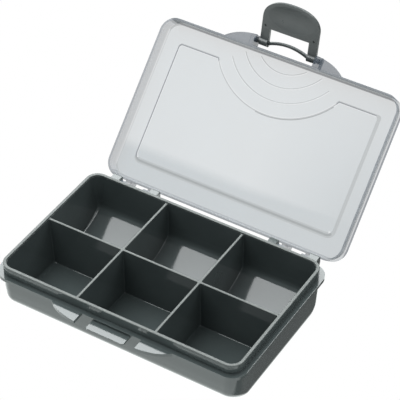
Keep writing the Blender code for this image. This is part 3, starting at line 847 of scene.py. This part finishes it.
# The lid's faces by what they are: the flat roof, the sloped steps and ribs, and the walls; steps, ribs and ends
# get copies of the plastic with painted light and shade by side.
roof = LID_TOP - LID_ROOF
for face in lid.data.polygons:
    c, normal = face.center, face.normal
    inside = abs(c.x) < LID_LENGTH / 2 - 1.6 * MM and abs(c.y) < LID_WIDTH / 2 - 1.6 * MM
    step = roof + 0.01 * MM < c.z < roof + PANEL_DEPTH - 0.01 * MM
    rib = roof - 0.4 * MM < c.z < roof - 0.01 * MM
    if inside and (step or rib):
        face.material_index = step_look(c, roof)
    elif inside and c.z > roof - 0.5 * MM:
        face.material_index = SHEET
    # Painted shade: a dark line along the top edge of the right end only.
    elif c.x > LID_LENGTH / 2 - 1.4 * MM and LID_TOP - 1.1 * MM < c.z < LID_TOP - 0.005 * MM:
        face.material_index = EDGE
    elif c.z > LID_TOP - 0.3 * MM:
        face.material_index = SHEET
    elif abs(c.y) > LID_WIDTH / 2 + 0.1 * MM:
        face.material_index = WALL if c.y > 0 and abs(normal.x) > 0.7 else TRIM
    elif c.y < -LID_WIDTH / 2 + 1.8 * MM and abs(c.x) < LID_LENGTH / 2 - 3.0 * MM:
        face.material_index = FRONT
    elif c.z < LID_FOOT + 0.3 * MM and normal.z < -0.3:
        face.material_index = TRIM
    # The left and right ends get separate copies of the clear plastic, tuned for how light falls on each side:
    # painted light and shade.
    elif c.x < -LID_LENGTH / 2 + 3.0 * MM:
        face.material_index = WALL
    elif c.x > LID_LENGTH / 2 - 3.0 * MM:
        face.material_index = SIDE
    else:
        face.material_index = TRIM
lid_index = [face.material_index for face in lid.data.polygons]
lid.data.transform(open_lid)
latch.data.transform(open_latch)



def highlighted_face(face):
    """The upward faces of the rim and the dividers, and the top of the ledge's rounded edge: these get the lighter
    colour as a painted highlight.
    """
    c = face.center
    on_edge = abs(c.x) > LEDGE_LENGTH / 2 - 0.6 * MM or abs(c.y) > LEDGE_WIDTH / 2 - 0.6 * MM
    low_edge = on_edge and LEDGE_TOP - 0.75 * MM < c.z < LEDGE_TOP + 0.1 * MM and 0.1 < face.normal.z < 0.995
    return low_edge or (face.normal.z > 0.5 and c.z > DIVIDER_TOP - 0.3 * MM)


# Painted highlight on the upward tops and on the ledge's rounded edge.
tray_index = [int(highlighted_face(face)) for face in tray.data.polygons]
shown(tray, "tray_shell", [tray_plastic(), rim_highlight_plastic()], "body", "base_tray")
for face, index in zip(tray.data.polygons, tray_index):
    face.material_index = index
lid_looks = [
    # The sheet's look carries painted shade towards the hinge side and the right end.
    clear_plastic("lid_sheet_look", (0.125, 0.182, 0.212), 0.165, 0.50, shade_opacity=0.09),
    # Painted shade on the sloped steps and ribs, soft and as a dark line:
    clear_plastic("lid_soft_shade_look", (0.125, 0.150, 0.156), 0.40, 0.59, specular=0.0),
    clear_plastic("lid_shade_line_look", (0.100, 0.115, 0.140), 0.66, 0.84, specular=0.0),
    # Painted highlight on the steps and the outer halves of the ribs:
    clear_plastic("lid_painted_glint_look", (0.40, 0.44, 0.46), 0.12, 0.24),
    clear_plastic("lid_wall_look", (0.050, 0.080, 0.115), 0.20, 0.46, 0.14, 0.4),
    clear_plastic("lid_trim_look", (0.080, 0.096, 0.116), 0.50, 0.62, 0.20, 0.1),
    # Deeper painted shade on the rear and right steps:
    clear_plastic("lid_deep_shade_look", (0.095, 0.112, 0.115), 0.56, 0.70, specular=0.0),
    clear_plastic("lid_front_look", (0.052, 0.064, 0.078), 0.64, 0.82, 0.20, 0.05),
    # The ends' copies paint light and shade by side, and the right top edge carries a painted dark line.
    clear_plastic("lid_side_look", (0.040, 0.056, 0.078), 0.16, 0.22, 0.20, 0.0),
    clear_plastic("lid_shaded_edge_look", (0.120, 0.138, 0.168), 0.66, 0.74, 0.20, 0.0),
]
shown(lid, "lid_shell", lid_looks, "lid_body", "lid")
for face, index in zip(lid.data.polygons, lid_index):
    face.material_index = index
shown(latch, "latch_plate", [latch_plastic()], "latch_body", "latch")


# Studio
def emission(name, colour, strength):
    made = bpy.data.materials.new(name)
    made.use_nodes = True
    tree = made.node_tree
    tree.nodes.clear()
    output = tree.nodes.new("ShaderNodeOutputMaterial")
    shader = tree.nodes.new("ShaderNodeEmission")
    shader.inputs["Color"].default_value = (*colour, 1.0)
    shader.inputs["Strength"].default_value = strength
    tree.links.new(shader.outputs["Emission"], output.inputs["Surface"])
    return made


def flat_sheet(name, x0, x1, y0, y1, z, material):
    mesh = bpy.data.meshes.new(name)
    mesh.from_pydata([(x0, y0, z), (x1, y0, z), (x1, y1, z), (x0, y1, z)], [], [(0, 1, 2, 3)])
    mesh.materials.append(material)
    obj = bpy.data.objects.new(name, mesh)
    SHOWN.objects.link(obj)
    return obj


def seen_by(obj, camera, rays):
    obj.visible_camera = camera
    obj.visible_diffuse = rays
    obj.visible_glossy = rays
    obj.visible_transmission = rays
    obj.visible_shadow = rays


# The floor that the camera sees is plain white. What the box reflects of the table is a glowing sheet out of sight
# of the camera, painted light: bright in front and to the left, with a painted shadow past its right wall, where
# the box shades the table.
floor = flat_sheet("floor", -5.5, 5.5, -5.5, 5.5, -0.0002, emission("floor_white", (1, 1, 1), 1.0))
seen_by(floor, True, False)
table_look = emission("table_look", (0.96, 1.0, 0.985), 1.0)
table_nodes = table_look.node_tree.nodes
place_on_table = table_nodes.new("ShaderNodeTexCoord")
across = table_nodes.new("ShaderNodeSeparateXYZ")
reach = table_nodes.new("ShaderNodeMapRange")
reach.inputs["From Min"].default_value = -0.1
reach.inputs["From Max"].default_value = 0.1
table_light_ramp = table_nodes.new("ShaderNodeValToRGB")
# Painted light and shadow: the glow falls from bright to dim just past the box's right wall.
for stop, (spot, glow) in zip(table_light_ramp.color_ramp.elements, ((0.40, 1.80), (0.7675, 0.30))):
    stop.position, stop.color = spot, (glow, glow, glow, 1.0)
table_light_ramp.color_ramp.elements.new(0.7625).color = (1.80, 1.80, 1.80, 1.0)
table_links = table_look.node_tree.links
table_links.new(place_on_table.outputs["Object"], across.inputs["Vector"])
table_links.new(across.outputs["X"], reach.inputs["Value"])
table_links.new(reach.outputs["Result"], table_light_ramp.inputs["Fac"])
# Painted light: the table just in front of the box glows brighter.
in_front = table_nodes.new("ShaderNodeMapRange")
in_front.inputs["From Min"].default_value = -0.031
in_front.inputs["From Max"].default_value = -0.036
in_front.inputs["To Max"].default_value = 1.75
both = table_nodes.new("ShaderNodeMath")
both.operation = "MAXIMUM"
table_links.new(across.outputs["Y"], in_front.inputs["Value"])
table_links.new(table_light_ramp.outputs["Color"], both.inputs[0])
table_links.new(in_front.outputs["Result"], both.inputs[1])
table_links.new(both.outputs["Value"], table_nodes["Emission"].inputs["Strength"])
table = flat_sheet("table", -3, 3, -3, 3, -0.0004, table_look)
seen_by(table, False, True)

bm = bmesh.new()
bmesh.ops.create_uvsphere(bm, u_segments=48, v_segments=24, radius=5.0)
bmesh.ops.reverse_faces(bm, faces=bm.faces)
mesh = bpy.data.meshes.new("backdrop")
bm.to_mesh(mesh)
bm.free()
mesh.materials.append(emission("backdrop_white", (1, 1, 1), 1.0))
backdrop = bpy.data.objects.new("backdrop", mesh)
SHOWN.objects.link(backdrop)
seen_by(backdrop, True, False)

world = bpy.data.worlds.new("studio")
world.use_nodes = True
world.node_tree.nodes["Background"].inputs["Color"].default_value = (0.93, 0.97, 1.0, 1)
world.node_tree.nodes["Background"].inputs["Strength"].default_value = 0.35
bpy.context.scene.world = world


def softbox(name, centre, size, aim, radiance):
    data = bpy.data.lights.new(name, "AREA")
    data.color = (0.97, 0.995, 1.0)
    data.shape = "RECTANGLE"
    data.size, data.size_y = size
    data.energy = radiance * math.pi * size[0] * size[1]
    obj = bpy.data.objects.new(name, data)
    obj.location = centre
    obj.rotation_mode = "QUATERNION"
    obj.rotation_quaternion = (Vector(aim) - Vector(centre)).to_track_quat("-Z", "Y")
    obj.visible_camera = False
    SHOWN.objects.link(obj)
    return obj


softbox("overhead", (-0.33, 0.0, 0.62), (0.60, 0.62), (-0.33, 0.0, 0.0), 6.0)
softbox("behind", (-0.28, 0.61, 0.62), (1.10, 0.58), (-0.28, 0.61, 0.0), 8.3)
softbox("fill", (0.42, 0.05, 0.62), (0.55, 0.70), (0.0, 0.05, 0.0), 1.3)

# Camera
place = Vector((0.27799, -0.427185, 0.498228))
forward = Vector((-0.39349, 0.64436, -0.65572))
right = Vector((0.85262, 0.52252, 0.00182))
up = Vector((-0.3438, 0.55837, 0.755))
camera_data = bpy.data.cameras.new("camera")
camera_data.lens = 166.154
camera_data.sensor_width = 36.0
camera_data.clip_start = 0.01
camera_data.clip_end = 100.0
camera = bpy.data.objects.new("camera", camera_data)
SHOWN.objects.link(camera)
camera.matrix_world = Matrix.Translation(place) @ Matrix((right, up, -forward)).transposed().to_4x4()
bpy.context.scene.camera = camera
bpy.context.scene.view_settings.view_transform = "Standard"
bpy.context.scene.view_settings.look = "None"

bpy.context.view_layer.update()
